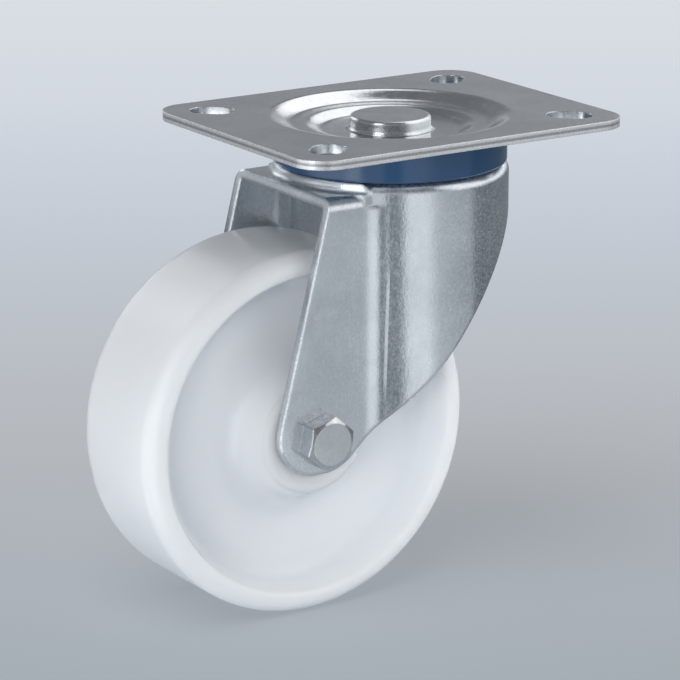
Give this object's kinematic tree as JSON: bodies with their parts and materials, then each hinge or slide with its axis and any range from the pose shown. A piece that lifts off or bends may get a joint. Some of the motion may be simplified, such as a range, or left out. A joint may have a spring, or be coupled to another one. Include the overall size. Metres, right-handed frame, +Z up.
{
  "type": "swivel plate castor",
  "caption": "Swivel plate castor with a slotted mounting plate, ball-race swivel head with a dust seal, one-piece pressed fork and solid white wheel on caged rollers.",
  "frame": {"origin": "centre of the plate's top face, on the swivel axis", "axes": "+Z up out of the plate's top face; +X along the plate's long side, the way the castor rolls, so the wheel trails to -X; the axle lies along Y at rest"},
  "size_m": [0.138, 0.082, 0.13],
  "materials": {
    "plate_steel": "zinc plated, satin",
    "pin_steel": "zinc plated, satin",
    "cup_steel": "zinc plated, satin",
    "ball_steel": "polished",
    "seal_plastic": "smooth moulded",
    "fork_steel": "zinc plated, bright",
    "bolt_steel": "zinc plated, bright",
    "insert_nylon": "smooth",
    "tube_steel": "zinc plated, satin",
    "cage_plastic": "moulded",
    "roller_steel": "ground",
    "wheel_nylon": "smooth moulded"
  },
  "bodies": {
    "plate": {"top_plate": "plate_steel", "king_pin": "pin_steel", "lower_cup": "cup_steel"},
    "fork": {"fork": "fork_steel", "dust_seal": "seal_plastic", "axle_bolt": "bolt_steel", "axle_nut": "bolt_steel", "nut_insert": "insert_nylon", "axle_tube": "tube_steel"},
    "wheel": {"wheel": "wheel_nylon"},
    "upper_ring": {"upper_balls": "ball_steel"},
    "lower_ring": {"lower_balls": "ball_steel"},
    "roller_ring": {"roller_cage": "cage_plastic", "rollers": "roller_steel"}
  },
  "joints": [
    {"name": "swivel", "type": "hinge", "parent": "plate", "child": "fork", "pos_m": [0, 0, 0], "axis": [0, 0, 1], "continuous": true},
    {"name": "wheel_spin", "type": "hinge", "parent": "fork", "child": "wheel", "pos_m": [-0.037, 0, -0.08], "axis": [0, 1, 0], "continuous": true},
    {"name": "upper_orbit", "type": "hinge", "parent": "plate", "child": "upper_ring", "pos_m": [0, 0, 0], "axis": [0, 0, 1], "continuous": true},
    {"name": "lower_orbit", "type": "hinge", "parent": "plate", "child": "lower_ring", "pos_m": [0, 0, 0], "axis": [0, 0, 1], "continuous": true},
    {"name": "roller_orbit", "type": "hinge", "parent": "fork", "child": "roller_ring", "pos_m": [-0.037, 0, -0.08], "axis": [0, 1, 0], "continuous": true}
  ],
  "couplings": [
    {"joint": "upper_orbit", "follows": "swivel", "ratio": 0.5},
    {"joint": "lower_orbit", "follows": "swivel", "ratio": 0.5},
    {"joint": "roller_orbit", "follows": "wheel_spin", "ratio": 0.625}
  ]
}
